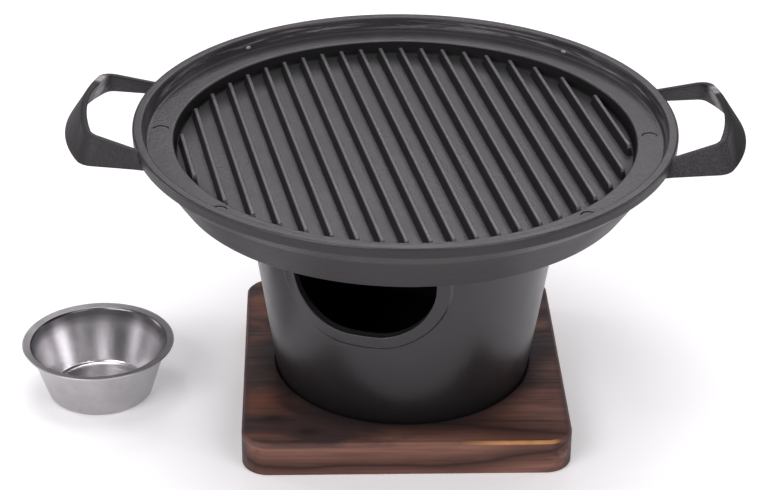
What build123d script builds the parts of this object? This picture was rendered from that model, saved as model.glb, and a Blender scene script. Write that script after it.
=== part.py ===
from build123d import *
import os
from math import cos, floor, hypot, radians, sin, sqrt

os.makedirs("parts", exist_ok=True)

# A small table grill in four pieces: a wooden board, a tapered cast stove that stands in a shallow
# seat in the board, a ribbed cast pan that sits on the stove's mouth, and a loose steel fuel cup.
# Millimetres, +Z up, +Y to the back. The origin is the middle of the board's underside.

# Board, which is a little narrower than the stove's mouth and a little deeper than it is wide
board_inset = 0.7
board_extra_depth = 2.0
board_thickness = 14.5
board_corner_radius = 10.5
board_edge_radius = 1.0
seat_depth = 2.0
seat_clearance = 0.4

# Stove
foot_radius = 50.7
mouth_radius = 64.7
stove_height = 93.5
stove_wall = 3.2
stove_floor = 4.0
stove_edge_radius = 0.8

# Vent in the stove's wall, seen square on from the side that it faces
vent_direction = -108.0
vent_width = 56.0
vent_height = 37.4
vent_sill = 44.1
vent_bottom_radius = 23.0
vent_top_radius = 6.0
vent_border_width = 5.2
vent_border_height = 0.8

# Pan, whose handles stand a little off the board's sides
pan_turn = -2.6
pan_floor_thickness = 3.5
rim_radius = 105.0
rim_width = 3.9
rim_wall_draft = 1.3
rim_wall_depth = 5.9
rim_band_height = 4.5
rim_band_draft = 0.2
rim_edge_radius = 0.7
ledge_width = 10.4
ledge_thickness = 3.2
recess_depth = 5.6
recess_draft = 0.8
skirt_setback = 2.8
skirt_draw = 13.5
skirt_depth = 24.5
skirt_wall = 3.2
skirt_fillet = 1.2
lip_edge_radius = 0.8

# Ring under the pan that keeps it in the stove's mouth
ring_clearance = 0.6
ring_wall = 2.5
ring_depth = 4.0

# Straight ribs across the pan's floor
rib_turn = 12.6
rib_pitch = 8.39
rib_shift = -0.7
rib_height = 4.2
rib_top_width = 1.45
rib_base_width = 2.9
rib_edge_radius = 0.3
rib_end_gap = 2.65
rib_root = 0.5

# Shallow round marks that the mould leaves on the ledge
mark_radius = 3.1
mark_depth = 0.25
mark_directions = [0, 180, 225, 315]

# Handle: a strap bent into a loop, its upper edge in one sloping plane and its lower edge in another
strap_top_slope = 15.8
strap_top_rise = 1.3
strap_top_thickness = 2.5
strap_bottom_slope = 3.8
strap_bottom_drop = 5.9
strap_bottom_thickness = 3.5
loop_top_root = 29.7
loop_top_corner = 26.25
loop_top_corner_reach = 12.3
loop_top_reach = 16.65
loop_top_inner_bend = 3.2
loop_top_outer_bend = 9.0
loop_bottom_root = 32.2
loop_bottom_corner = 32.0
loop_bottom_corner_reach = 13.0
loop_bottom_reach = 23.1
loop_bottom_inner_bend = 4.5
loop_bottom_outer_bend = 6.5

# Fuel cup, set down beside the board
cup_gap = 28.4
cup_shift = -0.7
cup_rim_radius = 30.5
cup_height = 23.4
cup_bottom_radius = 20.6
cup_sheet = 0.7
cup_lip_width = 3.5
cup_lip_rise = 0.5
cup_corner_radius = 2.5
cup_panel_radius = 14.5
cup_panel_rise = 0.8

# Widths that follow from the stove's mouth and from the pan's rim
board_width = 2 * (mouth_radius - board_inset)
board_depth = board_width + board_extra_depth
rim_inner_radius = rim_radius - rim_width
ledge_outer_radius = rim_inner_radius - rim_wall_draft
recess_radius = ledge_outer_radius - ledge_width
rib_circle_radius = recess_radius - rib_end_gap
mark_circle_radius = (recess_radius + ledge_outer_radius) / 2
skirt_top_radius = rim_radius - skirt_setback
skirt_bottom_radius = skirt_top_radius - skirt_draw
cup_place = (-board_width / 2 - cup_gap - cup_rim_radius, cup_shift)

# Heights that the pieces share
seat_z = board_thickness - seat_depth
mouth_z = seat_z + stove_height
pan_floor_z = mouth_z + pan_floor_thickness
ledge_z = pan_floor_z + recess_depth
rim_top_z = ledge_z + rim_wall_depth


def stove_radius(height):
    """Outer radius of the stove at a height above its foot."""
    return foot_radius + (mouth_radius - foot_radius) * height / stove_height


def nearest(corners, *points):
    """The corner of an outline that is nearest to each of the points."""
    return [corners.sort_by_distance((x, y, 0))[0] for x, y in points]


# Board with rounded corners, eased edges and a round seat for the stove
with BuildPart() as base_board:
    with BuildSketch():
        RectangleRounded(board_width, board_depth, board_corner_radius)
    extrude(amount=board_thickness)
    fillet(base_board.faces().sort_by(Axis.Z)[-1].edges(), board_edge_radius)
    fillet(base_board.faces().sort_by(Axis.Z)[0].edges(), board_edge_radius)
    with BuildSketch(Plane.XY.offset(board_thickness)):
        Circle(stove_radius(seat_depth) + seat_clearance)
    extrude(amount=-seat_depth, mode=Mode.SUBTRACT)
base_board.part.label = "base_board"
export_step(base_board.part, "parts/base_board.step")

# The stove's wall leans outwards, so a level cut through it is a little wider than the wall
stove_lean = (mouth_radius - foot_radius) / stove_height
level_wall = stove_wall * hypot(1, stove_lean)
vent_azimuth = radians(vent_direction)
vent_plane = Plane(
    origin=(0, 0, seat_z + vent_sill + vent_height / 2),
    x_dir=(-sin(vent_azimuth), cos(vent_azimuth), 0),
    z_dir=(cos(vent_azimuth), sin(vent_azimuth), 0),
)


def vent_outline(margin):
    """Outline of the vent, wider by the margin: a deep round bottom and a straight top."""
    with BuildSketch(vent_plane) as outline:
        Rectangle(vent_width + 2 * margin, vent_height + 2 * margin)
        fillet(outline.vertices().group_by(Axis.Y)[0], vent_bottom_radius + margin)
        fillet(outline.vertices().group_by(Axis.Y)[-1], vent_top_radius + margin)
    return outline.sketch


# Raised border: the part of a slightly larger cone that lies round the vent
with BuildPart() as vent_border:
    with BuildSketch(Plane.XZ):
        with BuildLine():
            Polyline(
                (foot_radius - stove_wall / 2, seat_z),
                (foot_radius + vent_border_height, seat_z),
                (mouth_radius + vent_border_height, mouth_z),
                (mouth_radius - stove_wall / 2, mouth_z),
                close=True,
            )
        make_face()
    revolve(axis=Axis.Z)
    extrude(vent_outline(vent_border_width), amount=2 * mouth_radius, mode=Mode.INTERSECT)

# Stove: a tapered bucket with a closed floor, an eased mouth and one vent
with BuildPart() as stove_body:
    with BuildSketch(Plane.XZ) as section:
        with BuildLine():
            Polyline(
                (0, seat_z),
                (foot_radius, seat_z),
                (mouth_radius, mouth_z),
                (mouth_radius - level_wall, mouth_z),
                (stove_radius(stove_floor) - level_wall, seat_z + stove_floor),
                (0, seat_z + stove_floor),
                close=True,
            )
        make_face()
        edges_to_ease = nearest(
            section.vertices(),
            (foot_radius, seat_z),
            (mouth_radius, mouth_z),
            (mouth_radius - level_wall, mouth_z),
        )
        fillet(edges_to_ease, stove_edge_radius)
    revolve(axis=Axis.Z)
    add(vent_border.part)
    extrude(vent_outline(0), amount=2 * mouth_radius, mode=Mode.SUBTRACT)
stove_body.part.label = "stove_body"
export_step(stove_body.part, "parts/stove_body.step")

# The pan's rim, skirt and underside follow from the heights of its rim and of the stove's mouth
band_bottom_z = rim_top_z - rim_band_height
skirt_bottom_z = rim_top_z - skirt_depth
skirt_lean = (skirt_top_radius - skirt_bottom_radius) / (band_bottom_z - skirt_bottom_z)
skirt_level_wall = skirt_wall * hypot(1, skirt_lean)
roof_z = ledge_z - ledge_thickness
roof_outer_radius = skirt_bottom_radius - skirt_level_wall + skirt_lean * (roof_z - skirt_bottom_z)
step_radius = recess_radius - recess_draft + ledge_thickness
ring_radius = stove_radius(stove_height - ring_depth) - level_wall - ring_clearance

# Pan bowl: rim, ledge, recessed floor, hollow skirt and the ring under the floor
with BuildPart() as pan_bowl:
    with BuildSketch(Plane.XZ) as section:
        with BuildLine():
            Polyline(
                (0, pan_floor_z),
                (recess_radius - recess_draft, pan_floor_z),
                (recess_radius, ledge_z),
                (ledge_outer_radius, ledge_z),
                (rim_inner_radius, rim_top_z),
                (rim_radius, rim_top_z),
                (rim_radius - rim_band_draft, band_bottom_z),
                (skirt_top_radius, band_bottom_z),
                (skirt_bottom_radius, skirt_bottom_z),
                (skirt_bottom_radius - skirt_level_wall, skirt_bottom_z),
                (roof_outer_radius, roof_z),
                (step_radius, roof_z),
                (step_radius, mouth_z),
                (ring_radius, mouth_z),
                (ring_radius, mouth_z - ring_depth),
                (ring_radius - ring_wall, mouth_z - ring_depth),
                (ring_radius - ring_wall, mouth_z),
                (0, mouth_z),
                close=True,
            )
        make_face()
        rim_edges = nearest(
            section.vertices(),
            (rim_inner_radius, rim_top_z),
            (rim_radius, rim_top_z),
            (ledge_outer_radius, ledge_z),
            (recess_radius, ledge_z),
            (recess_radius - recess_draft, pan_floor_z),
        )
        fillet(rim_edges, rim_edge_radius)
        lip_edges = nearest(
            section.vertices(),
            (skirt_bottom_radius, skirt_bottom_z),
            (skirt_bottom_radius - skirt_level_wall, skirt_bottom_z),
        )
        fillet(lip_edges, lip_edge_radius)
        fillet(nearest(section.vertices(), (skirt_top_radius, band_bottom_z)), skirt_fillet)
    revolve(axis=Axis.Z)

# Ribs: equal bars with drafted sides, cut off by one circle inside the recess
rib_azimuth = radians(rib_turn)
rib_plane = Plane(
    origin=(0, 0, pan_floor_z),
    x_dir=(cos(rib_azimuth), sin(rib_azimuth), 0),
    z_dir=(sin(rib_azimuth), -cos(rib_azimuth), 0),
)
ribs_each_side = floor((rib_circle_radius - rib_base_width / 2 - abs(rib_shift)) / rib_pitch)
rib_places = [rib_shift + rib_pitch * k for k in range(-ribs_each_side, ribs_each_side + 1)]

with BuildPart() as pan_ribs:
    with BuildSketch(rib_plane):
        with Locations([(place, 0) for place in rib_places]):
            with BuildSketch(mode=Mode.PRIVATE) as rib:
                with BuildLine():
                    Polyline(
                        (-rib_base_width / 2, -rib_root),
                        (rib_base_width / 2, -rib_root),
                        (rib_base_width / 2, 0),
                        (rib_top_width / 2, rib_height),
                        (-rib_top_width / 2, rib_height),
                        (-rib_base_width / 2, 0),
                        close=True,
                    )
                make_face()
                fillet(rib.vertices().group_by(Axis.Y)[-1], rib_edge_radius)
            add(rib.sketch)
    extrude(amount=rib_circle_radius, both=True)
    with BuildSketch(Plane.XY.offset(pan_floor_z - rib_root)):
        Circle(rib_circle_radius)
    extrude(amount=rib_root + rib_height, mode=Mode.INTERSECT)


# The arms end half way through the rim's band, measured at the outer side of a strap's upper edge
root_middle = loop_top_root + strap_top_thickness
root_reach = sqrt((rim_radius - rim_width / 2) ** 2 - root_middle**2) - rim_radius


def strap_outline(plane, slope, root, corner, corner_reach, reach, corner_radius):
    """Outline of the loop in a sloping plane: two arms, two round corners and a bowed grip.

    Widths are half widths across the pan. Reaches are level distances out from the rim, and are
    drawn longer in the plane by its slope. The arms start inside the rim's band.
    """
    slant = 1 / cos(radians(slope))
    with BuildSketch(plane) as outline:
        with BuildLine():
            Polyline(
                (corner_reach * slant, -corner),
                (root_reach * slant, -root),
                (root_reach * slant, root),
                (corner_reach * slant, corner),
            )
            ThreePointArc(
                (corner_reach * slant, corner),
                (reach * slant, 0),
                (corner_reach * slant, -corner),
            )
        make_face()
        fillet(outline.vertices().group_by(Axis.X)[-1], corner_radius)
    return outline.sketch


def sloping_plane(slope, height):
    """Plane that passes the rim's outside at a height and rises outwards."""
    return Plane(
        origin=(rim_radius, 0, height),
        x_dir=(cos(radians(slope)), 0, sin(radians(slope))),
        z_dir=(-sin(radians(slope)), 0, cos(radians(slope))),
    )


def loop_outlines(outside):
    """Lower and upper outline of the strap's outer face or, with outside 0, of its inner face."""
    lower_offset = outside * strap_bottom_thickness
    upper_offset = outside * strap_top_thickness
    lower = strap_outline(
        sloping_plane(strap_bottom_slope, rim_top_z - strap_bottom_drop),
        strap_bottom_slope,
        loop_bottom_root + lower_offset,
        loop_bottom_corner + lower_offset,
        loop_bottom_corner_reach + lower_offset,
        loop_bottom_reach + lower_offset,
        loop_bottom_outer_bend if outside else loop_bottom_inner_bend,
    )
    upper = strap_outline(
        sloping_plane(strap_top_slope, rim_top_z + strap_top_rise),
        strap_top_slope,
        loop_top_root + upper_offset,
        loop_top_corner + upper_offset,
        loop_top_corner_reach + upper_offset,
        loop_top_reach + upper_offset,
        loop_top_outer_bend if outside else loop_top_inner_bend,
    )
    return [lower, upper]


with BuildPart() as handle:
    loft(sections=loop_outlines(1), ruled=True)
    loft(sections=loop_outlines(0), ruled=True, mode=Mode.SUBTRACT)

# Pan: bowl, ribs and both handles are one casting, with the mould's marks sunk into the ledge
with BuildPart() as pan_casting:
    add(pan_bowl.part)
    add(pan_ribs.part)
    add(handle.part)
    add(handle.part.mirror(Plane.YZ))
    with BuildSketch(Plane.XY.offset(ledge_z)):
        for direction in mark_directions:
            with Locations(Location((0, 0, 0), (0, 0, direction))):
                with Locations((mark_circle_radius, 0)):
                    Circle(mark_radius)
    extrude(amount=-mark_depth, mode=Mode.SUBTRACT)

with BuildPart() as grill_pan:
    add(pan_casting.part, rotation=(0, 0, pan_turn))
grill_pan.part.label = "grill_pan"
export_step(grill_pan.part, "parts/grill_pan.step")

# Fuel cup: one pressed sheet with a rising lip, a tapered wall and a raised panel in its floor
lip_inner_radius = cup_rim_radius - cup_lip_width
lip_inner_z = cup_height - cup_lip_rise

with BuildPart() as fuel_cup:
    with BuildSketch(Plane.XZ.offset(-cup_place[1])):
        with Locations((cup_place[0], 0)):
            with BuildSketch(mode=Mode.PRIVATE) as section:
                with BuildLine():
                    Polyline(
                        (0, cup_panel_rise + cup_sheet),
                        (cup_panel_radius, cup_panel_rise + cup_sheet),
                        (cup_panel_radius + cup_panel_rise, cup_sheet),
                        (cup_bottom_radius - cup_sheet, cup_sheet),
                        (lip_inner_radius, lip_inner_z),
                        (cup_rim_radius, cup_height),
                        (cup_rim_radius, cup_height - cup_sheet),
                        (lip_inner_radius + cup_sheet, lip_inner_z - cup_sheet),
                        (cup_bottom_radius, 0),
                        (cup_panel_radius + cup_panel_rise, 0),
                        (cup_panel_radius, cup_panel_rise),
                        (0, cup_panel_rise),
                        close=True,
                    )
                make_face()
                inner_corner = nearest(section.vertices(), (cup_bottom_radius - cup_sheet, cup_sheet))
                fillet(inner_corner, cup_corner_radius - cup_sheet)
                outer_corner = nearest(section.vertices(), (cup_bottom_radius, 0))
                fillet(outer_corner, cup_corner_radius)
            add(section.sketch)
    revolve(axis=Axis(origin=(*cup_place, 0), direction=(0, 0, 1)))
fuel_cup.part.label = "fuel_cup"
export_step(fuel_cup.part, "parts/fuel_cup.step")
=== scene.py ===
import bmesh
import bpy
import numpy as np
from mathutils import Matrix


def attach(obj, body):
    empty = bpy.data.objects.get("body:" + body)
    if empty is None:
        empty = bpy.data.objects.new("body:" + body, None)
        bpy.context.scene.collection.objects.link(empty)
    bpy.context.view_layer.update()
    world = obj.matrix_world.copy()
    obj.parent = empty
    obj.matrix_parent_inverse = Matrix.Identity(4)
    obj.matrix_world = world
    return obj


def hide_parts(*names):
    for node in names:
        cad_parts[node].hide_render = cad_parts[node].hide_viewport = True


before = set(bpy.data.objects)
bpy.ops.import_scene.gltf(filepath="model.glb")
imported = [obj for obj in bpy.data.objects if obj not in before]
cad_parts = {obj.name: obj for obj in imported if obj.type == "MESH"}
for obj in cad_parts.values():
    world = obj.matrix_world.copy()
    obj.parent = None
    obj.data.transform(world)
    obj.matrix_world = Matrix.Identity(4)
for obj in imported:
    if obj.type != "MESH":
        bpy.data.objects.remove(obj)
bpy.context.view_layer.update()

# Lengths are in millimetres until a mesh is made, and so are the places that the finishes read.
# Angles are in degrees.
MM = 0.001

# Heights that the pieces share, as in the CAD model
BOARD_TOP = 14.5
SEAT = 12.5
MOUTH = 106.0
PAN_FLOOR = 109.5
LEDGE = 115.1
RIM_TOP = 121.0

# The rim's radius, how far the pan is turned, and its ribs' height and turn within it
RIM = 105
PAN_TURN = -2.6
RIB_HEIGHT = 4.2
RIB_TOP = PAN_FLOOR + RIB_HEIGHT
RIB_TURN = 12.6

# The cup's middle
CUP = (-122.9, -0.7)


# Shapes


def unit(v):
    """The vector divided by its length."""
    return v / np.linalg.norm(v)


def straight(a, b, spacing, guard):
    """Points between a and b: one guard length in from each end, and the rest evenly spaced."""
    length = np.linalg.norm(b - a)
    if length <= 2.5 * guard:
        return np.empty((0, 2))
    inner = np.linspace(guard, length - guard, max(2, int(np.ceil(length / spacing)) + 1))
    return a + (inner / length)[:, None] * (b - a)


def eased_profile(corners, radii, steps=6, spacing=4.0, guard=0.3):
    """Open line through the corners, each rounded by an arc of its own radius.

    At a corner whose sides meet at the angle 2a the arc starts radius / tan a along each side, and
    its centre lies radius / sin a in along the bisector. The straights get points between arcs.
    """
    points = np.asarray(corners, float)
    line = []
    for i, (corner, radius) in enumerate(zip(points, radii)):
        if radius == 0 or i in (0, len(points) - 1):
            line.append(corner[None])
            continue
        back, on = unit(points[i - 1] - corner), unit(points[i + 1] - corner)
        half = 0.5 * np.arccos(np.clip(back @ on, -1, 1))
        centre = corner + unit(back + on) * radius / np.sin(half)
        start = corner + back * radius / np.tan(half) - centre
        end = corner + on * radius / np.tan(half) - centre
        turn = np.pi - 2 * half
        s = np.linspace(0, 1, steps + 1)[:, None]
        line.append(centre + (np.sin((1 - s) * turn) * start + np.sin(s * turn) * end) / np.sin(turn))
    whole = [line[0]]
    for before, after in zip(line, line[1:]):
        whole += [straight(before[-1], after[0], spacing, guard), after]
    return np.concatenate(whole)


def grid_faces(rows, columns, keep=None):
    """Four-sided faces between neighbouring points of a grid that is counted row by row. The last
    column's faces lead back to the first.
    """
    r, c = np.meshgrid(np.arange(rows - 1), np.arange(columns), indexing="ij")
    if keep is not None:
        r, c = r[keep], c[keep]
    across = (c + 1) % columns
    quads = (r * columns + c, r * columns + across, (r + 1) * columns + across, (r + 1) * columns + c)
    return np.stack(quads, -1).reshape(-1, 4)


def round_angles(count):
    """Evenly spaced angles of a whole turn, in radians."""
    return np.arange(count) * 2 * np.pi / count


def turned(profile, angles):
    """Surface of revolution: the point (r, z) of the profile at angle a is (r cos a, r sin a, z)."""
    r, z = profile[:, :1], profile[:, 1:]
    return np.stack([r * np.cos(angles), r * np.sin(angles), z + 0 * angles], -1)


def capped(rows):
    """The grid with a row before its first and one after its last, each drawn in to that row's middle."""
    first, last = ((row.mean(0) + 0 * row)[None] for row in (rows[0], rows[-1]))
    return np.concatenate([first, rows, last])


def about_z(points, degrees):
    """The points turned about the z axis."""
    a = np.radians(degrees)
    x, y, z = points[..., 0], points[..., 1], points[..., 2]
    return np.stack([x * np.cos(a) - y * np.sin(a), x * np.sin(a) + y * np.cos(a), z], -1)


def ripple(*coordinates, seed=0):
    """Smooth waviness between about -1 and 1: the sum of five slanting sine waves."""
    draw = np.random.default_rng(seed)
    total = 0
    for strength in (1, 0.8, 0.6, 0.45, 0.35):
        phase = draw.uniform(0, 6.28)
        slant = sum(draw.uniform(-1, 1) * c for c in coordinates) / strength
        total = total + strength * np.sin(slant + phase)
    return total / 3.2


def make_piece(name, points, faces, material, body, slot, node, marks=None, others=()):
    """Makes a smooth-shaded piece from grids of points and faces, welds its seams and poles, and points
    its faces outwards: where the volume summed over its faces is negative, every face is reversed.
    Each of the other materials goes to the faces whose distance from the axis and height it takes.
    """
    places = points.reshape(-1, 3) * MM
    mesh = bpy.data.meshes.new(name)
    mesh.from_pydata(places.tolist(), [], faces.tolist())
    if marks is not None:
        wear = mesh.attributes.new("wear", "FLOAT", "POINT")
        wear.data.foreach_set("value", marks.ravel().astype(np.float32))
    built = bmesh.new()
    built.from_mesh(mesh)
    bmesh.ops.remove_doubles(built, verts=built.verts, dist=2e-6)
    bmesh.ops.dissolve_degenerate(built, edges=built.edges, dist=1e-7)
    if built.calc_volume(signed=True) < 0:
        bmesh.ops.reverse_faces(built, faces=built.faces)
    built.to_mesh(mesh)
    built.free()
    mesh.polygons.foreach_set("use_smooth", np.ones(len(mesh.polygons), bool))
    mesh.materials.append(material)
    middles = np.empty(3 * len(mesh.polygons))
    mesh.polygons.foreach_get("center", middles)
    x, y, z = middles.reshape(-1, 3).T / MM
    index = np.zeros(len(mesh.polygons), np.int32)
    for count, (other, takes) in enumerate(others):
        mesh.materials.append(other)
        index[takes(np.hypot(x, y), z)] = count + 1
    mesh.polygons.foreach_set("material_index", index)
    made = bpy.data.objects.new(name, mesh)
    bpy.context.scene.collection.objects.link(made)
    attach(made, body)
    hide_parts(node)


def joined(grids):
    """Several (points, faces) grids as one, each one's faces counted on from the last one's points."""
    counts = np.cumsum([0] + [g[0].reshape(-1, 3).shape[0] for g in grids])
    points = np.concatenate([g[0].reshape(-1, 3) for g in grids])
    faces = np.concatenate([g[1] + n for g, n in zip(grids, counts)])
    return points, faces


# Pan


def pan_bowl():
    """Rim, ledge, recessed floor, hollow skirt and the ring under the floor, as one turned profile. The
    skirt's inner wall lies 3.86 mm in from its outer one.
    """
    skirt_foot, inner_foot, segments = 88.7, 88.7 - 3.86, 400
    corners = [
        (0, PAN_FLOOR), (88.6, PAN_FLOOR), (89.4, LEDGE), (99.8, LEDGE), (101.1, RIM_TOP), (RIM, RIM_TOP),
        (104.8, 116.5), (102.2, 116.5), (skirt_foot, 96.5), (inner_foot, 96.5),
        (inner_foot + 10.4, 111.9), (91.8, 111.9), (91.8, MOUTH), (60.2, MOUTH), (60.2, 102), (57.7, 102),
        (57.7, MOUTH), (0, MOUTH),
    ]
    radii = [0, 0.9, 0.75, 0.8, 0.8, 0.9, 0.7, 2.4, 0.8, 0.8, 1, 0.8, 1, 0.5, 0.4, 0.4, 0.5, 0]
    profile = eased_profile(corners, radii, steps=5, spacing=7, guard=0.35)
    points = turned(profile, round_angles(segments))
    return about_z(points, PAN_TURN), grid_faces(len(profile), segments)


def on_skirt(away, z):
    """Outside and underside of the rim, the skirt, and all that lies below the floor."""
    outside = (z < RIM_TOP - 0.7) & (away > RIM - 1.1)
    return outside | ((z < 116.4) & ((away > 100.5) | (z < PAN_FLOOR - 0.5)))


def on_recess_wall(away, z):
    """Wall between the floor and the ledge."""
    return (z > PAN_FLOOR + 0.02) & (z < LEDGE - 0.5) & (away < 90)


def pan_ribs():
    """Equal bars with drafted sides. Across a bar the section is a rounded trapezium, and along it the
    height falls near its ends as a quarter ellipse, where one circle cuts the bars off.
    """
    shift, pitch, circle, fall = -0.7, 8.39, 86.75, 1.6
    places = shift + pitch * np.arange(-10, 11)
    reach = np.sqrt(circle**2 - places**2)
    corners = [(1.55, -0.5), (1.42, 0.15), (0.74, RIB_HEIGHT), (0, RIB_HEIGHT)]
    half = eased_profile(corners, [0, 0, 0.42, 0], 5, 5, 0.2)
    section = np.concatenate([half, half[-2::-1] * (-1, 1)])
    ends = np.array([1, 0.97, 0.88, 0.72, 0.5, 0.25, 0])
    height = np.concatenate([np.sqrt(1 - ends**2), np.ones(11), np.sqrt(1 - ends[::-1] ** 2)])
    inner = np.linspace(-1, 1, 13)[1:-1]
    along = np.stack([
        np.concatenate([-r + fall * (1 - ends), inner * (r - fall), r - fall * (1 - ends[::-1])])
        for r in reach
    ])
    across = places[:, None, None] + section[None, None, :, 0]
    lift = PAN_FLOOR + np.where(section[:, 1] > 0, section[:, 1] * height[:, None], section[:, 1])
    shape = (len(places), len(height), len(section))
    x, z = np.broadcast_to(across, shape), np.broadcast_to(lift[None], shape)
    y = np.broadcast_to(along[:, :, None], shape)
    bars = np.stack([capped(bar) for bar in np.stack([x, y, z], -1)])
    bars = about_z(bars, RIB_TURN + PAN_TURN)
    faces = grid_faces(bars.shape[1], len(section))
    return joined([(bar, faces) for bar in bars])


def bent_loop(root, corner, corner_reach, reach, bends, thickness, counts=(22, 14, 30)):
    """Half of a handle's outline seen from above, from an arm's root to the middle of the grip.

    The arm starts 103.05 mm from the pan's axis and is straight, the bend is an arc that touches it, and
    the grip is a shallow circle through both bends' corners and the middle. Returns the distance out
    from the rim and the half width.
    """
    root, corner = root + thickness, corner + thickness
    corner_reach, reach = corner_reach + thickness, reach + thickness
    radius = bends[thickness > 0]
    rise = reach - corner_reach
    bow = (corner**2 + rise**2) / (2 * rise)
    middle = reach - bow
    inside = np.sqrt(103.05**2 - root**2) - RIM
    arm = unit(np.array([corner_reach - inside, corner - root]))
    normal = np.array([arm[1], -arm[0]])
    # The bend's centre lies one radius in from the arm and one radius inside the grip's circle
    base = np.array([inside, root]) + normal * radius - (middle, 0)
    along = -(base @ arm) + np.sqrt((base @ arm) ** 2 - base @ base + (bow - radius) ** 2)
    centre = base + arm * along + (middle, 0)
    touch = centre - normal * radius
    arm_line = np.linspace((inside, root), touch, counts[0], endpoint=False)
    first = np.arctan2(*(touch - centre)[::-1])
    last = np.arctan2(centre[1], centre[0] - middle)
    a = np.linspace(first, last, counts[1], endpoint=False)[:, None]
    bend = centre + radius * np.concatenate([np.cos(a), np.sin(a)], 1)
    a = np.linspace(last, 0, counts[2])[:, None]
    grip = np.array([middle, 0]) + bow * np.concatenate([np.cos(a), np.sin(a)], 1)
    return np.concatenate([arm_line, bend, grip])


def handle(side):
    """A strap bent into a loop. Its section runs between four outlines: the inner and outer edge in the
    lower sloping plane and the same in the upper one. Between them a point is the bilinear mean, and
    a rounded rectangle in that unit square gives the strap its eased edges. It is thicker by the root.
    """
    lines = []
    # For the lower and the upper plane: the loop's sizes, its slope, its height at the rim and thickness
    for size, slope, height, thickness in (
        ((32.2, 32.0, 13.0, 23.1, (4.5, 6.5)), 3.8, RIM_TOP - 5.9, 3.5),
        ((29.7, 26.25, 12.3, 16.65, (3.2, 9.0)), 15.8, RIM_TOP + 1.3, 2.5),
    ):
        for offset in (0, thickness):
            half = bent_loop(*size, offset)
            whole = np.concatenate([half, half[-2::-1] * (1, -1)])
            z = height + np.tan(np.radians(slope)) * whole[:, 0]
            lines.append(np.stack([RIM + whole[:, 0], whole[:, 1], z], -1))
    low_in, low_out, high_in, high_out = lines
    a = np.linspace(0, 2 * np.pi, 41)[:-1]
    across = 0.5 + 0.5 * np.sign(np.cos(a)) * np.abs(np.cos(a)) ** 0.42
    upwards = 0.5 + 0.5 * np.sign(np.sin(a)) * np.abs(np.sin(a)) ** 0.2
    from_root = np.linalg.norm(low_out - low_out[0], axis=1)
    from_root = np.minimum(from_root, from_root[::-1])[:, None]
    flare = 0.22 * np.exp(-((from_root / 2.6) ** 2))
    u = (across - 0.5)[None] * (1 + flare) + 0.5
    v = upwards[None] + 0 * u
    points = capped(
        low_in[:, None] * ((1 - u) * (1 - v))[..., None] + low_out[:, None] * (u * (1 - v))[..., None]
        + high_in[:, None] * ((1 - u) * v)[..., None] + high_out[:, None] * (u * v)[..., None]
    )
    if side < 0:
        points = points * (-1, 1, 1)
    return about_z(points, PAN_TURN), grid_faces(len(points), points.shape[1])


def rim_nubs():
    """Two small casting nubs on the inner wall of the rim: ellipsoids half sunk in it, whose points are
    (0.8 cos p cos q, 1.3 cos p sin q, 0.8 sin p) about a middle on the wall.
    """
    p, q = np.meshgrid(np.linspace(-np.pi / 2, np.pi / 2, 9), round_angles(14), indexing="ij")
    egg = np.stack([0.8 * np.cos(p) * np.cos(q), 1.3 * np.cos(p) * np.sin(q), 0.8 * np.sin(p)], -1)
    egg = egg + (100.2, 0, 116.9)
    return joined([(about_z(egg, turn), grid_faces(9, 14)) for turn in (46.8, 128.4)])


def mould_mark_shades():
    """Painted shade at the far edges of the four round mould marks on the ledge: dark crescents 0.04 mm
    proud of it. At the angle a from 6 to 174 degrees the centre line is (3 cos a, 3 sin a), and the
    half width is 0.5 sin(a) ** 0.5 across a low arch. Each crescent is closed underneath.
    """
    a = np.radians(np.linspace(6, 174, 49))[:, None]
    q = round_angles(10)[None]
    radius = 3.0 + 0.5 * np.sqrt(np.sin(a)) * np.cos(q)
    arc = capped(np.stack([radius * np.cos(a), radius * np.sin(a), 0.04 * np.sin(q) + 0 * a], -1))
    from_axis = 94.6
    grids = []
    for turn in (0, 180, 225, 315):
        way = np.radians(turn + PAN_TURN)
        middle = (from_axis * np.cos(way), from_axis * np.sin(way), LEDGE)
        grids.append((arc + middle, grid_faces(len(arc), 10)))
    return joined(grids)


# Stove

# Which way the vent faces, the wall's thickness and how far the vent's border stands proud
VENT_WAY = -108.0
STOVE_WALL = 3.24
BORDER = 0.8

# The cone's radius at the foot and at the mouth, how much it widens, and over what height
FOOT_RADIUS, MOUTH_RADIUS = 50.7, 64.7
CONE_WIDENS, CONE_HEIGHT = 14, 93.5

# The rectangle left open round the vent: half its angle, its heights, and how its edge is counted
WINDOW, WINDOW_LOW, WINDOW_HIGH = 42.0, 48.6, 102.0
ACROSS, UP, BEND = 28, 24, 6


def stove_outer(z):
    """Outer radius of the stove at a height: a straight cone from the foot to the mouth."""
    return FOOT_RADIUS + CONE_WIDENS * (z - SEAT) / CONE_HEIGHT


def vent_outline(margin):
    """Outline of the vent as seen square on, wider by the margin, counted round from the middle of its
    lower left bend. Each bend is a quarter circle and each side a straight between two bends.
    """
    half, low, high = 28.0, 56.6, 94.0
    bends = [(-half, low, 23, 180), (half, low, 23, 270), (half, high, 6, 0), (-half, high, 6, 90)]
    quarters = []
    for x, z, radius, first in bends:
        a = np.radians(first + np.linspace(0, 90, 2 * BEND + 1))
        centre = (x - np.sign(x) * radius, z + (radius if z == low else -radius))
        quarters.append(np.stack([np.cos(a), np.sin(a)], -1) * (radius + margin) + centre)
    line = []
    for i, quarter in enumerate(quarters):
        after = quarters[(i + 1) % 4]
        count = (ACROSS if i % 2 == 0 else UP) - 2 * BEND
        s = np.linspace(0, 1, count + 1)[1:-1, None]
        line += [quarter[BEND:], quarter[-1] * (1 - s) + after[0] * s, after[:BEND]]
    return np.concatenate(line)


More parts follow.
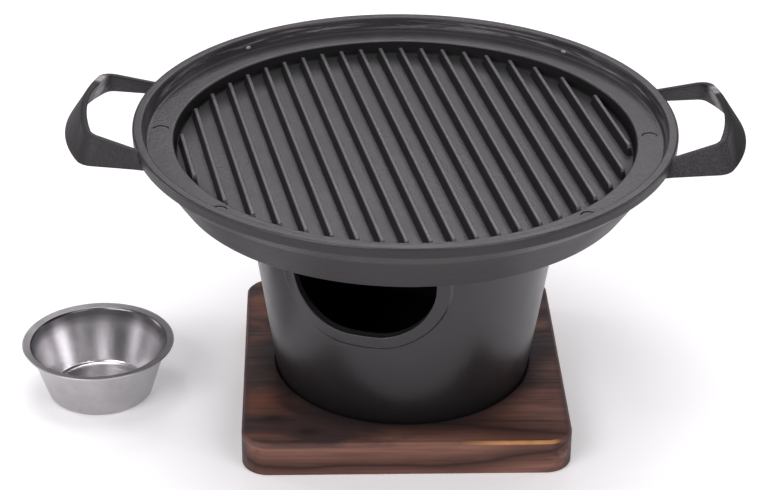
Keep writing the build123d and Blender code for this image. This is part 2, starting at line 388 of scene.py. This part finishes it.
def window_edge():
    """Edge of the rectangle that is left open round the vent, in the same count as its outline: the
    angle from the vent's middle in radians, and the height.
    """
    w = np.radians(WINDOW)
    x, z = np.linspace(-w, w, ACROSS + 1), np.linspace(WINDOW_LOW, WINDOW_HIGH, UP + 1)
    sides = [
        (x[:-1], WINDOW_LOW + 0 * x[:-1]), (w + 0 * z[:-1], z[:-1]),
        (x[:0:-1], WINDOW_HIGH + 0 * x[:-1]), (-w + 0 * z[:-1], z[:0:-1]),
    ]
    return np.concatenate([np.stack(s, -1) for s in sides])


def vent_surround():
    """Rings round the vent. A ring has a margin to the vent's outline, a depth, and its share of the way
    out to the open rectangle. Up to the wall's thickness the depth lies below the surface there, and
    past it below the raised border. They run from the rectangle to the border, over its rounded edge,
    through the wall and back to the rectangle on the inside. A point that stands x to the side of the
    vent's middle at the radius R lies at the angle arcsin(x / R), so the vent is cut straight through.
    """
    inner = STOVE_WALL + BORDER
    rings = [(6, 0, 1), (6, 0, 0.66), (6, 0, 0.33), (6, 0, 0)]
    rings += [(m, 0, 0) for m in (5.75, 5.5, 5.3, 5.1, 4.9, 4.7, 4.4, 3.5, 2.4, 1.4, 0.75)]
    rings += [(0.6, 0.01, 0), (0.34, 0.08, 0), (0.12, 0.25, 0)]
    rings += [(0, d, 0) for d in (0.6, 0.9, 1.6, 2.4, 3.0, STOVE_WALL + 0.35)]
    rings += [(0.15, STOVE_WALL + 0.65, 0)] + [(m, inner, 0) for m in (0.4, 0.8, 2, 6)]
    rings += [(6, inner, 0.5), (6, inner, 1)]
    edge = window_edge()
    rows = []
    for margin, depth, out in rings:
        x, z = vent_outline(margin).T
        step = np.clip((5.7 - margin) / 0.9, 0, 1)
        border = BORDER * step**2 * (3 - 2 * step)
        radius = stove_outer(z) + (border if depth < STOVE_WALL else BORDER) - depth
        angle = np.arcsin(x / radius)
        angle, z = angle + (edge[:, 0] - angle) * out, z + (edge[:, 1] - z) * out
        if out:
            radius = stove_outer(z) - (STOVE_WALL if depth > STOVE_WALL else 0)
        rows.append(np.stack([radius * np.cos(angle), radius * np.sin(angle), z], -1))
    return np.stack(rows), grid_faces(len(rings), len(edge))


def stove_wall():
    """The whole bucket as one turned profile, from under the floor over the mouth to the top of the
    floor, less the rectangle round the vent, which the vent's rings fill on both faces of the wall.
    """
    floor_top = 16.5
    low, high = stove_outer(WINDOW_LOW), stove_outer(WINDOW_HIGH)
    window = np.linspace(WINDOW_LOW, WINDOW_HIGH, UP + 1)
    below = eased_profile([(0, SEAT), (FOOT_RADIUS, SEAT), (low, WINDOW_LOW)], [0, 0.8, 0], 6, 4)
    over = eased_profile(
        [(high, WINDOW_HIGH), (MOUTH_RADIUS, MOUTH), (MOUTH_RADIUS - STOVE_WALL, MOUTH),
         (high - STOVE_WALL, WINDOW_HIGH)],
        [0, 0.8, 0.8, 0], 6, 3,
    )
    bottom = eased_profile(
        [(low - STOVE_WALL, WINDOW_LOW), (stove_outer(floor_top) - STOVE_WALL, floor_top),
         (0, floor_top)],
        [0, 2.5, 0], 6, 5,
    )
    outer = np.stack([stove_outer(window), window], -1)
    inner = np.stack([stove_outer(window[::-1]) - STOVE_WALL, window[::-1]], -1)
    profile = np.concatenate([below[:-1], outer, over[1:-1], inner, bottom[1:]])
    w = np.radians(WINDOW)
    rest = np.linspace(w, 2 * np.pi - w, 141)[:-1]
    angles = np.concatenate([np.linspace(-w, w, ACROSS + 1)[:-1], rest])
    keep = np.ones((len(profile) - 1, len(angles)), bool)
    first = len(below) - 1
    second = first + len(outer) + len(over) - 2
    keep[first:first + UP, :ACROSS] = False
    keep[second:second + UP, :ACROSS] = False
    wall_grid = (turned(profile, angles), grid_faces(len(profile), len(angles), keep))
    points, faces = joined([wall_grid, vent_surround()])
    return about_z(points, VENT_WAY), faces


# Board and cup


def square_line(inset):
    """Rounded rectangle, 128 by 130 mm less the inset on each side, counted round from the front end of
    its right side. Each bend is a quarter circle of 10.5 mm less the inset about a corner's middle,
    and each side is a straight from one bend to the next.
    """
    radius = 10.5 - inset
    middles = np.array([[53.5, 54.5], [-53.5, 54.5], [-53.5, -54.5], [53.5, -54.5]])
    a = np.radians(np.linspace(0, 90, 12) + np.array([[0], [90], [180], [270]]))
    bends = middles[:, None] + radius * np.stack([np.cos(a), np.sin(a)], -1)
    s = np.linspace(0, 1, 31)[1:-1, None]
    sides = np.roll(bends[:, -1:], 1, 0) * (1 - s) + bends[:, :1] * s
    return np.concatenate([sides, bends], 1).reshape(-1, 2)


def board():
    """Board: the rounded square carried up a profile of insets and heights, then drawn in to the circle
    of the seat, down its wall and to its middle. The top edge is worn by up to 0.35 mm. A row is its
    line, its height and its wear, and the wear of every point goes to the finish.
    """
    outline = square_line(0)
    way = np.arctan2(outline[:, 1], outline[:, 0])
    circle = np.stack([np.cos(way), np.sin(way)], -1)
    worn = 0.17 * (1 + ripple(outline[:, 0] / 9, outline[:, 1] / 9, seed=4))
    quarter = np.radians(np.linspace(0, 90, 7))
    seat_radius, half_depth = 51.9, 65
    rows = [(square_line(1) * share, 0, 0) for share in (0, 0.5, 0.9, 1)]
    rows += [(square_line(1 - np.sin(a)), 1 - np.cos(a), 0.5) for a in quarter]
    rows += [(outline, z, 0) for z in np.linspace(1.3, 13.2, 9)]
    for a in quarter:
        lost = worn * np.sin(2 * a)
        drawn_in = square_line(1 - np.cos(a)) * (1 - lost / half_depth)[:, None]
        rows.append((drawn_in, BOARD_TOP - 1 + np.sin(a) - lost, 1))
    for share in (0.02, 0.12, 0.4, 0.7, 0.94, 1):
        line = square_line(1) * (1 - share) + circle * seat_radius * share
        rows.append((line, BOARD_TOP, 0.9 * (share < 0.05)))
    down = ((51.75, 14.44), (51.5, 14.3), (51.4, 14.0), (51.4, 12.7), (51.2, SEAT), (30, SEAT), (0, SEAT))
    rows += [(circle * r, z, 0) for r, z in down]
    points = np.stack([np.concatenate([line, (z + 0 * way)[:, None]], 1) for line, z, _ in rows])
    wear = np.stack([mark + 0 * way for _, _, mark in rows])
    return points, grid_faces(len(rows), len(way)), wear


def cup():
    """Pressed cup: one turned profile of the inside, over the rolled lip and back under the floor."""
    inside = eased_profile(
        [(0, 1.5), (14.5, 1.5), (15.3, 0.72), (19.9, 0.7), (27.0, 22.9), (30.3, 23.3)],
        [0, 0.8, 0.6, 1.8, 1.2, 0], 6, 3, 0.2,
    )
    outside = eased_profile(
        [(30.3, 22.65), (27.7, 22.2), (20.6, 0), (15.3, 0), (14.5, 0.8), (0, 0.8)],
        [0, 1.0, 2.5, 0.6, 0.6, 0], 6, 3, 0.2,
    )
    segments = 240
    a = np.radians(np.linspace(80, -80, 9))
    roll = np.stack([30.18 + 0.32 * np.cos(a), 22.98 + 0.33 * np.sin(a)], -1)
    profile = np.concatenate([inside, roll, outside])
    return turned(profile, round_angles(segments)) + (*CUP, 0), grid_faces(len(profile), segments)


# Finishes


class Finish:
    """A node material with one Principled shader, and short calls that add nodes to it."""

    def __init__(self, name):
        self.material = bpy.data.materials.new(name)
        self.material.use_nodes = True
        self.tree = self.material.node_tree
        self.shader = self.tree.nodes["Principled BSDF"]
        self.place = self.add("ShaderNodeTexCoord").outputs["Object"]

    def add(self, kind, **settings):
        node = self.tree.nodes.new(kind)
        for key, value in settings.items():
            setattr(node, key, value)
        return node

    def put(self, socket, value):
        if isinstance(value, bpy.types.NodeSocket):
            self.tree.links.new(value, socket)
        else:
            socket.default_value = value

    def mapped(self, scale, turn=0.0, centre=(0, 0)):
        """The point, scaled along each axis, turned about z and counted from the centre."""
        node = self.add("ShaderNodeMapping")
        self.put(node.inputs["Vector"], self.place)
        node.inputs["Scale"].default_value = scale
        node.inputs["Rotation"].default_value = (0, 0, np.radians(turn))
        x, y = (-scale[i] * centre[i] * MM for i in (0, 1))
        node.inputs["Location"].default_value = (x, y, 0)
        return node.outputs["Vector"]

    def parts(self, centre=(0, 0)):
        """The point's x, y and z from the centre, and its distance from the upright line through it."""
        split = self.add("ShaderNodeSeparateXYZ")
        self.put(split.inputs[0], self.mapped((1 / MM, 1 / MM, 1 / MM), centre=centre))
        x, y, z = split.outputs
        return x, y, z, self.distance(x, y)

    def noise(self, vector, scale, detail=4.0, rough=0.55, warp=0.0):
        node = self.add("ShaderNodeTexNoise")
        self.put(node.inputs["Vector"], vector)
        settings = {"Scale": scale, "Detail": detail, "Roughness": rough, "Distortion": warp}
        for key, value in settings.items():
            node.inputs[key].default_value = value
        return node.outputs["Fac"]

    def maths(self, operation, a, b=0.0):
        node = self.add("ShaderNodeMath", operation=operation)
        for socket, value in zip(node.inputs, (a, b)):
            self.put(socket, value)
        return node.outputs[0]

    def plus(self, a, b):
        return self.maths("ADD", a, b)

    def minus(self, a, b):
        return self.maths("SUBTRACT", a, b)

    def times(self, product, *factors):
        for factor in factors:
            product = self.maths("MULTIPLY", product, factor)
        return product

    def distance(self, a, b):
        """Length of the line whose sides are a and b."""
        return self.maths("SQRT", self.plus(self.times(a, a), self.times(b, b)))

    def ramp(self, value, *stops):
        node = self.add("ShaderNodeValToRGB")
        self.put(node.inputs["Fac"], value)
        band = node.color_ramp.elements
        while len(band) < len(stops):
            band.new(0.5)
        for element, (place, colour) in zip(band, stops):
            element.position = place
            element.color = (*colour, 1) if isinstance(colour, tuple) else (colour, colour, colour, 1)
        return node.outputs["Color"]

    def range(self, value, low, high, to_low, to_high):
        """The value carried over from low..high to to_low..to_high, and held at its ends."""
        node = self.add("ShaderNodeMapRange")
        for socket, number in zip(node.inputs, (value, low, high, to_low, to_high)):
            self.put(socket, number)
        return node.outputs["Result"]

    def band(self, value, low, full, fall, high):
        """0 up to low and from high on, 1 from full to fall, and straight in between."""
        return self.times(self.range(value, low, full, 0, 1), self.range(value, fall, high, 1, 0))

    def mix(self, share, a, b):
        """From a to b, which is a socket or a colour."""
        node = self.add("ShaderNodeMix", data_type="RGBA")
        self.put(node.inputs["Factor"], share)
        self.put(node.inputs["A"], a)
        self.put(node.inputs["B"], (*b, 1) if isinstance(b, tuple) else b)
        return node.outputs["Result"]

    def bump(self, height, strength, distance, after=None):
        node = self.add("ShaderNodeBump")
        node.inputs["Strength"].default_value = strength
        node.inputs["Distance"].default_value = distance
        self.put(node.inputs["Height"], height)
        if after is not None:
            self.put(node.inputs["Normal"], after)
        return node.outputs["Normal"]

    def done(self, **inputs):
        for key, value in inputs.items():
            self.put(self.shader.inputs[key.replace("_", " ")], value)
        return self.material


def cast_black(name, grain, grain_depth, rough, tone):
    """Satin black coating on cast metal: cloudy tone with lighter specks, uneven gloss and a fine
    orange-peel grain. Its green is a little below its red and blue.
    """
    f = Finish(name)
    clouds = f.noise(f.place, 38, 5, 0.6)
    specks = f.noise(f.place, 900, 3, 0.6)
    dark, light, speck = (
        (tone * red, tone * green, tone * red) for red, green in ((0.86, 0.76), (1.16, 1.02), (1.9, 1.85))
    )
    colour = f.ramp(clouds, (0.3, dark), (0.7, light))
    colour = f.mix(f.range(specks, 0.62, 0.72, 0, 0.35), colour, speck)
    gloss = f.range(clouds, 0.3, 0.7, rough - 0.05, rough + 0.06)
    skin = f.bump(f.noise(f.place, grain, 4, 0.6), 0.5, grain_depth)
    return f, colour, gloss, skin


def even_black(name, grain, grain_depth, rough, tone, specular):
    """Black coating that is alike all over."""
    f, colour, gloss, skin = cast_black(name, grain, grain_depth, rough, tone)
    return f.done(Base_Color=colour, Roughness=gloss, Normal=skin, Specular_IOR_Level=specular)


def pan_finish():
    """Pan coating on the rim, ledge, floor and ribs. The ribs' tops are lighter, a painted highlight, and
    their flanks are darker, a painted shade. The floor is dark in the corner under the ledge, widest at
    the back, and so is the back of the corner between ledge and rim: painted shade. Light streaks run
    round the rim's inner wall: a painted reflection.
    """
    f, colour, gloss, skin = cast_black("black_pan_coating", 620, 0.0003, 0.34, 0.024)
    _, y, z, away = f.parts()
    worn = f.noise(f.mapped((1, 1, 1), RIB_TURN), 60, 5, 0.7)
    colour = f.mix(f.range(worn, 0.5, 0.7, 0, 0.3), colour, (0.055, 0.050, 0.055))
    on_rib = f.range(away, 86.8, 87.2, 1, 0)
    # Painted shade: the ribs' flanks are darkened
    flank_shade = f.band(z, PAN_FLOOR + 0.1, PAN_FLOOR + 0.5, RIB_TOP - 1.1, RIB_TOP - 0.3)
    colour = f.mix(f.times(flank_shade, 0.55, on_rib), colour, (0.004, 0.004, 0.004))
    # Painted highlight: the ribs' tops are lightened
    top = f.times(f.range(z, RIB_TOP - 0.3, RIB_TOP - 0.03, 0, 0.75), on_rib)
    colour = f.mix(top, colour, (0.075, 0.070, 0.075))
    # Painted shade: the floor's corner under the ledge, widest at the back, and the back of the corner
    # between ledge and rim are darkened and dulled
    shade_from = f.range(y, 0, 60, 83, 73)
    corner = f.range(f.minus(away, shade_from), 0, 9, 0, 1)
    corner = f.times(corner, f.range(z, PAN_FLOOR + 0.5, PAN_FLOOR + 2.3, 0.92, 0))
    fillet_shade = f.times(f.range(away, 98.8, 99.6, 0, 0.8), f.range(z, LEDGE + 0.5, LEDGE + 1.4, 1, 0))
    fillet_shade = f.times(fillet_shade, f.range(y, 50, 85, 0, 1))
    dark = f.maths("MAXIMUM", corner, fillet_shade)
    colour = f.mix(dark, colour, (0.003, 0.003, 0.003))
    gloss = f.plus(gloss, f.times(dark, 0.45))
    # Painted reflection: light streaks round the rim's inner wall
    streaks = f.range(f.noise(f.mapped((26, 26, 520)), 1.4, 4, 0.65, 0.4), 0.48, 0.66, 0, 1)
    streak_wall_band = f.times(f.band(away, 99.9, 100.1, 101.2, 101.6), f.band(z, 116.0, 117.2, 119.2, 120.4))
    colour = f.mix(f.times(streaks, streak_wall_band), colour, (0.17, 0.16, 0.17))
    return f.done(Base_Color=colour, Roughness=gloss, Normal=skin, Specular_IOR_Level=0.52)


def skirt_finish():
    """Pan coating on the skirt and underside: duller, with fine lines from the casting that run round
    it, made by noise squeezed hard along z.
    """
    f, colour, gloss, skin = cast_black("black_skirt_coating", 620, 0.0002, 0.48, 0.026)
    casting_lines = f.noise(f.mapped((7, 7, 420)), 1.6, 4, 0.6, 0.3)
    skin = f.bump(casting_lines, 0.35, 0.0005, skin)
    return f.done(Base_Color=colour, Roughness=gloss, Normal=skin, Specular_IOR_Level=0.32)


def handle_finish():
    """Handle coating: the same black over a coarser sand-cast grain, coarsest on the right handle. The
    grips are darker towards the front, a painted shade, and the insides of both back bends have light
    patches, a painted highlight.
    """
    f, colour, gloss, skin = cast_black("black_handle_coating", 420, 0.0006, 0.44, 0.018)
    x, y, _, _ = f.parts()
    out = f.maths("ABSOLUTE", x)

    def by_side(left, right):
        """One number for the left handle and another for the right one."""
        return f.range(x, -10, 10, left, right)

    # Painted shade: the grips darken towards the front, more on the right handle
    grip = f.times(f.range(out, 118.5, 124, 0, 1), f.range(y, 20, -12, 0.35, 1), by_side(0.5, 1.0))
    colour = f.mix(f.times(grip, 0.95), colour, (0.002, 0.002, 0.002))
    gloss = f.plus(gloss, f.times(grip, 0.4))
    # Painted highlight: light patches on the insides of both back bends
    bend_highlight_distance = f.distance(f.minus(out, by_side(118.5, 121.5)), f.minus(by_side(27.0, 13.5), y))
    patchy = f.range(f.noise(f.place, 420, 3, 0.6), 0.35, 0.6, 0.4, 1)
    colour = f.mix(f.times(f.range(bend_highlight_distance, 2.2, 5.2, 1, 0), patchy), colour, (0.34, 0.33, 0.34))
    pits = f.times(f.noise(f.place, 1100, 3, 0.6), by_side(0.55, 1.2))
    skin = f.bump(pits, 0.6, 0.0006, skin)
    sand = f.range(f.noise(f.mapped((1, 1, 1.6)), 1300, 4, 0.75), 0.48, 0.66, 0, 1)
    sandy = f.times(f.range(x, 90, 100, 0.25, 0.8), f.range(y, 0, -12, 0.1, 1), sand, f.minus(1.0, grip))
    colour = f.mix(sandy, colour, (0.06, 0.056, 0.06))
    return f.done(Base_Color=colour, Roughness=gloss, Normal=skin, Specular_IOR_Level=0.3)


def stove_finish():
    """Stove coating: smoother than the pan, darker to the foot, and darker and duller behind the outer
    wall, both painted shade. How far a point lies behind the wall is its distance from the axis less that
    of the cone at its height.
    """
    f, colour, gloss, skin = cast_black("black_stove_coating", 500, 0.00003, 0.3, 0.021)
    _, _, z, away = f.parts()
    # Painted shade: darker towards the foot
    colour = f.mix(f.range(z, SEAT + 0.5, 55, 0.8, 0), colour, (0.004, 0.004, 0.004))
    slope = CONE_WIDENS / CONE_HEIGHT
    cone = f.plus(f.times(z, slope), FOOT_RADIUS - SEAT * slope)
    # Painted shade: darker and duller behind the outer wall, on the vent's cut edge and inside the bucket
    behind = f.range(f.minus(away, cone), -1.1, -0.4, 1, 0)
    inside = f.times(behind, f.range(z, SEAT + 1, SEAT + 2, 0, 1))
    colour = f.mix(inside, colour, (0.009, 0.0082, 0.009))
    gloss = f.plus(gloss, f.times(inside, 0.5))
    return f.done(Base_Color=colour, Roughness=gloss, Normal=skin, Specular_IOR_Level=0.5)


def wood_finish():
    """Charred, brushed board. Growth rings are circles about a line that lies nearly along x, below the
    board and behind its front face, bent by noise. Fine fibres run along x, char lies in broad patches
    over the top with redder wood at the left, and a dark ring round the stove's foot is a painted
    shadow. Two knots stand at the front left, and the worn front edge shows fresh wood at the right.
    """
    f = Finish("charred_wood")
    x, y, z, from_stove = f.parts()
    sway = f.noise(f.mapped((7, 20, 20)), 1.5, 3, 0.5)
    away = f.distance(f.plus(y, 30), f.plus(f.minus(z, f.times(x, 0.09)), 35))
    away = f.plus(away, f.times(sway, 14))
    knot = 0.0
    for knot_x, knot_y, size in ((-52, -46, 6), (-38, -56, 4)):
        near = f.distance(f.times(f.minus(x, knot_x), 0.55), f.minus(y, knot_y))
        spot = f.range(near, 0, size, 1, 0)
        knot = f.maths("MAXIMUM", knot, spot)
        away = f.plus(away, f.times(spot, 6))
    rings = f.maths("PINGPONG", f.times(away, 0.165), 1.0)
    fibres = f.noise(f.mapped((26, 800, 800)), 1.0, 5, 0.65)
    streaks = f.noise(f.mapped((7, 95, 95)), 1.0, 4, 0.65, 0.5)
    warm = f.noise(f.mapped((10, 26, 26)), 1.3, 4, 0.6, 0.6)
    base = f.ramp(
        rings, (0.0, (0.026, 0.010, 0.008)), (0.16, (0.088, 0.036, 0.025)),
        (0.6, (0.165, 0.075, 0.053)), (1.0, (0.23, 0.110, 0.080)),
    )
    base = f.mix(f.range(fibres, 0.42, 0.75, 0, 0.6), base, (0.050, 0.024, 0.019))
    base = f.mix(f.range(streaks, 0.52, 0.64, 0, 0.7), base, (0.030, 0.014, 0.012))
    top = f.range(z, BOARD_TOP - 2.7, BOARD_TOP - 0.2, 0, 1)
    base = f.mix(f.times(f.range(warm, 0.40, 0.56, 0.9, 0.1), top), base, (0.042, 0.026, 0.026))
    redder = f.times(f.range(x, -45, -56, 0, 1), f.range(warm, 0.46, 0.58, 0, 0.6), top)
    base = f.mix(redder, base, (0.20, 0.075, 0.042))
    # Painted shadow: a dark ring on the top round the stove's foot
    base = f.mix(f.times(f.range(from_stove, 52, 62, 0.75, 0), top), base, (0.010, 0.008, 0.009))
    base = f.mix(f.times(knot, 0.8), base, (0.014, 0.008, 0.007))
    base = f.mix(f.range(f.maths("ABSOLUTE", x), 60.5, 63.5, 0, 0.7), base, (0.052, 0.040, 0.045))
    worn = f.add("ShaderNodeAttribute", attribute_name="wear").outputs["Fac"]
    patchy = f.noise(f.mapped((30, 30, 30)), 1.0, 3, 0.6)
    on_front = f.times(f.range(y, -62.5, -63.5, 0, 1), f.band(x, 20, 34, 56, 60))
    edge = f.times(f.range(worn, 0.9, 1.0, 0, 1), f.range(patchy, 0.36, 0.5, 0.25, 1))
    base = f.mix(f.times(edge, on_front), base, (0.56, 0.26, 0.09))
    edge = f.times(f.range(worn, 0.95, 1.0, 0, 0.28), f.range(patchy, 0.45, 0.6, 0, 1))
    base = f.mix(edge, base, (0.22, 0.10, 0.055))
    skin = f.bump(f.plus(f.times(rings, 0.5), f.times(fibres, 0.8)), 0.55, 0.0006)
    gloss = f.range(fibres, 0.3, 0.7, 0.5, 0.72)
    return f.done(Base_Color=base, Roughness=gloss, Normal=skin, Specular_IOR_Level=0.3)


def steel_finish():
    """Pressed stainless steel: satin, with drawing lines round the wall and faint handling scuffs. It is
    lighter inside, with a dark band under the lip, both painted reflections, and the lip is dark with a
    light outer edge, a painted shade and a painted highlight.
    """
    f = Finish("pressed_steel")
    centred = f.mapped((1, 1, 1), centre=CUP)
    drawn = f.noise(f.mapped((22, 22, 1500), centre=CUP), 1.0, 3, 0.6)
    scuffs = f.noise(centred, 130, 4, 0.6, 0.4)
    grain = f.noise(centred, 1500, 2, 0.5)
    _, _, z, away = f.parts(CUP)
    wall_middle = f.plus(f.times(z, 7.1 / 22.2), 20.1)
    within = f.times(f.range(f.minus(away, wall_middle), -0.1, 0.2, 1, 0), f.range(z, 0.6, 0.68, 0, 1))
    lip = f.range(z, 22.1, 22.6, 0, 0.8)
    colour = f.ramp(scuffs, (0.35, (0.40, 0.39, 0.40)), (0.65, (0.47, 0.46, 0.47)))
    # Painted reflection: lighter inside
    colour = f.mix(f.times(within, 0.85), colour, (0.68, 0.67, 0.68))
    # Painted reflection: a dark band inside under the lip
    colour = f.mix(f.times(within, f.range(z, 16.5, 20.5, 0, 0.85)), colour, (0.2, 0.195, 0.2))
    # Painted shade: a darker lip
    colour = f.mix(lip, colour, (0.18, 0.174, 0.18))
    # Painted highlight: a light outer edge on the lip
    colour = f.mix(f.times(f.range(away, 29.9, 30.3, 0, 1), lip), colour, (0.6, 0.59, 0.6))
    skin = f.bump(f.plus(f.times(drawn, 0.7), f.times(grain, 0.6)), 0.25, 0.00018)
    gloss = f.mix(within, f.range(scuffs, 0.35, 0.65, 0.3, 0.44), f.range(scuffs, 0.3, 0.7, 0.23, 0.27))
    return f.done(Base_Color=colour, Metallic=1.0, Roughness=gloss, Normal=skin)


# The object

pan_black = pan_finish()
skirt_black = skirt_finish()
# The recess's wall is matt and near black, a painted shade; the nubs are light grey, a painted highlight;
# and the marks' crescents are blackest, a painted shade
shaded_wall_black = even_black("shaded_wall_coating", 620, 0.0003, rough=0.62, tone=0.007, specular=0.2)
nub_highlight_grey = even_black("nub_highlight_coating", 620, 0.0002, rough=0.32, tone=0.22, specular=0.6)
mark_shade_black = even_black("mark_shade_coating", 620, 0.0002, rough=0.7, tone=0.0035, specular=0.08)
handle_black = handle_finish()
stove_black = stove_finish()
wood = wood_finish()
steel = steel_finish()

make_piece(
    "pan_bowl", *pan_bowl(), pan_black, "pan", "black_casting", "grill_pan",
    others=[(skirt_black, on_skirt), (shaded_wall_black, on_recess_wall)],
)
make_piece("pan_ribs", *pan_ribs(), pan_black, "pan", "black_casting", "grill_pan")
# The nubs' light grey is a painted highlight
make_piece("pan_rim_nubs", *rim_nubs(), nub_highlight_grey, "pan", "black_casting", "grill_pan")
# The crescents are painted shade
make_piece("pan_mould_mark_shades", *mould_mark_shades(), mark_shade_black, "pan", "black_casting", "grill_pan")
make_piece("pan_handle_right", *handle(1), handle_black, "pan", "black_casting", "grill_pan")
make_piece("pan_handle_left", *handle(-1), handle_black, "pan", "black_casting", "grill_pan")
make_piece("stove_wall", *stove_wall(), stove_black, "stove", "black_casting", "stove_body")
board_points, board_faces, board_wear = board()
make_piece(
    "charred_board", board_points, board_faces, wood, "board", "charred_wood", "base_board", board_wear,
)
make_piece("steel_cup", *cup(), steel, "cup", "pressed_steel", "fuel_cup")


# Studio

# Lamps and world lack a little green, as the photograph's greys do
TINT = (1.0, 0.965, 1.0)


def set_up(thing, axes, place):
    """Puts an object in the scene at a place, its axes given as columns."""
    matrix = np.eye(4)
    matrix[:3, :3], matrix[:3, 3] = axes, place
    thing.matrix_world = Matrix(matrix.tolist())
    bpy.context.scene.collection.objects.link(thing)


def camera():
    """Camera of the photograph: its place, a pitch of 28.4 degrees down, a slight roll and the lens, all
    turned by the yaw about z.
    """
    pitch, roll, yaw = 0.496, 0.0101, np.radians(2.0)
    focal_pixels, photo_width, sensor_width = 2296.04, 768, 36
    right = np.array([1.0, 0, 0])
    up = np.array([0, np.sin(pitch), np.cos(pitch)])
    ahead = np.array([0, np.cos(pitch), -np.sin(pitch)])
    tilted_right = np.cos(roll) * right + np.sin(roll) * up
    tilted_up = -np.sin(roll) * right + np.cos(roll) * up
    turn = np.array([[np.cos(yaw), np.sin(yaw), 0], [-np.sin(yaw), np.cos(yaw), 0], [0, 0, 1]])
    lens = bpy.data.cameras.new("camera")
    lens.sensor_fit, lens.sensor_width = "HORIZONTAL", sensor_width
    lens.lens = focal_pixels / photo_width * sensor_width
    lens.clip_start, lens.clip_end = 0.05, 20
    eye = bpy.data.objects.new("camera", lens)
    place = turn @ np.array([-7.7474, -802.0106, 499.5659]) * MM
    set_up(eye, np.stack([turn @ tilted_right, turn @ tilted_up, -(turn @ ahead)], 1), place)
    bpy.context.scene.camera = eye


def soft_light(name, place, aim, size, power):
    """Rectangular area light that faces a point. Its places are in metres."""
    lamp = bpy.data.lights.new(name, "AREA")
    lamp.shape, lamp.size, lamp.size_y, lamp.energy = "RECTANGLE", size[0], size[1], power
    lamp.color = TINT
    back = unit(np.array(place, float) - np.array(aim, float))
    side = unit(np.cross((0, 0, 1) if abs(back[2]) < 0.99 else (0, 1, 0), back))
    set_up(bpy.data.objects.new(name, lamp), np.stack([side, np.cross(back, side), back], 1), place)


def floor():
    """Pale floor, wide enough to fill the view, with a little light of its own."""
    mesh = bpy.data.meshes.new("floor")
    mesh.from_pydata([(-6, -6, 0), (6, -6, 0), (6, 6, 0), (-6, 6, 0)], [], [(0, 1, 2, 3)])
    ground = bpy.data.objects.new("floor", mesh)
    bpy.context.scene.collection.objects.link(ground)
    f = Finish("pale_floor")
    tone = f.ramp(f.noise(f.place, 3, 2), (0.3, 0.93), (0.7, 0.95))
    glow = {"Emission_Color": (1, 1, 1, 1), "Emission_Strength": 0.16}
    mesh.materials.append(f.done(Base_Color=tone, Roughness=0.9, **glow))


camera()
floor()
world = bpy.data.worlds.new("studio")
bpy.context.scene.world = world
world.use_nodes = True
sky = world.node_tree.nodes["Background"].inputs
sky["Color"].default_value, sky["Strength"].default_value = (*TINT, 1), 0.24
bpy.context.scene.view_settings.view_transform = "Standard"
soft_light("overhead", (0.0, 0.1, 1.4), (0, 0.02, 0.08), (1.0, 0.8), 10)
soft_light("back", (0.13, 1.15, 1.05), (0, 0, 0.1), (0.8, 0.55), 4.0)
soft_light("front_left", (-0.8, -1.0, 0.95), (0, 0, 0.05), (0.9, 0.7), 10.8)
soft_light("front_right", (0.8, -1.0, 0.95), (0, 0, 0.05), (0.9, 0.7), 7.0)
soft_light("left_edge", (-1.0, 0.35, 0.35), (0, 0, 0.08), (0.25, 0.6), 1.7)
soft_light("right_edge", (1.0, 0.35, 0.35), (0, 0, 0.08), (0.25, 0.6), 1.1)
